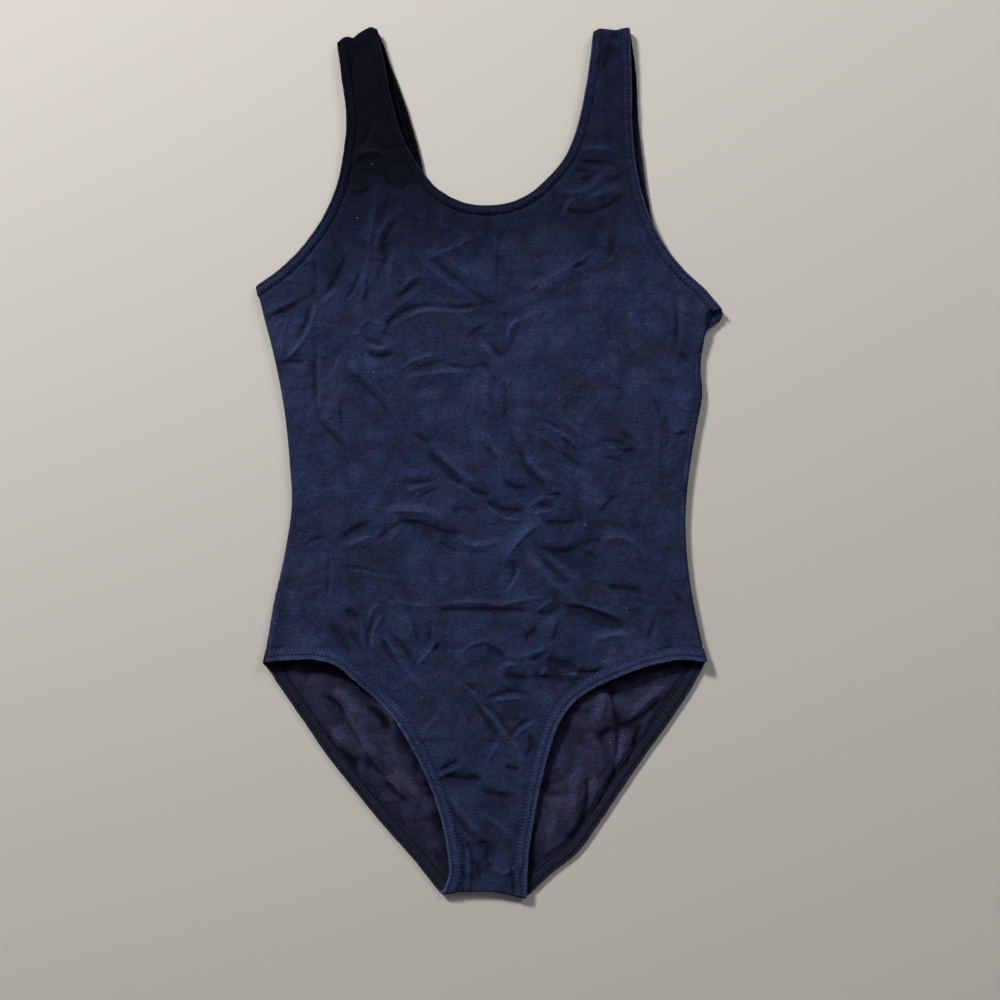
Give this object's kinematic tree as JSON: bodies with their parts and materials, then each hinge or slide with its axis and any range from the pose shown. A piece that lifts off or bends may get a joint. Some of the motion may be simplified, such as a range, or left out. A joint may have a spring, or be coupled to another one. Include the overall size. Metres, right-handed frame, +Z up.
{
  "type": "leotard laid flat",
  "caption": "Sleeveless dance leotard of dark jersey, laid flat on its back, with a scoop neck, high-cut legs and elastic hems.",
  "frame": {"origin": "middle of the garment's outline, on the surface that it lies on", "axes": "+Y towards the shoulders, +X to the right as seen from above, +Z up off the surface"},
  "size_m": [0.3273, 0.6115, 0.0095],
  "materials": {
    "jersey_face": "matt navy cotton and elastane jersey, outer face",
    "jersey_inside": "matt navy jersey, looped inner face",
    "hem_face": "navy jersey turned over elastic, with two needle rows",
    "hem_inside": "inside of a turned hem, with looper threads"
  },
  "bodies": {
    "root": {"front_panel": "jersey_face", "back_panel": "jersey_inside", "neck_hem_front": "hem_face", "neck_hem_back": "hem_inside", "armhole_hem_left_front": "hem_face", "armhole_hem_left_back": "hem_inside", "armhole_hem_right_front": "hem_face", "armhole_hem_right_back": "hem_inside", "leg_hem_left_front": "hem_face", "leg_hem_left_back": "hem_inside", "leg_hem_right_front": "hem_face", "leg_hem_right_back": "hem_inside"}
  },
  "joints": []
}
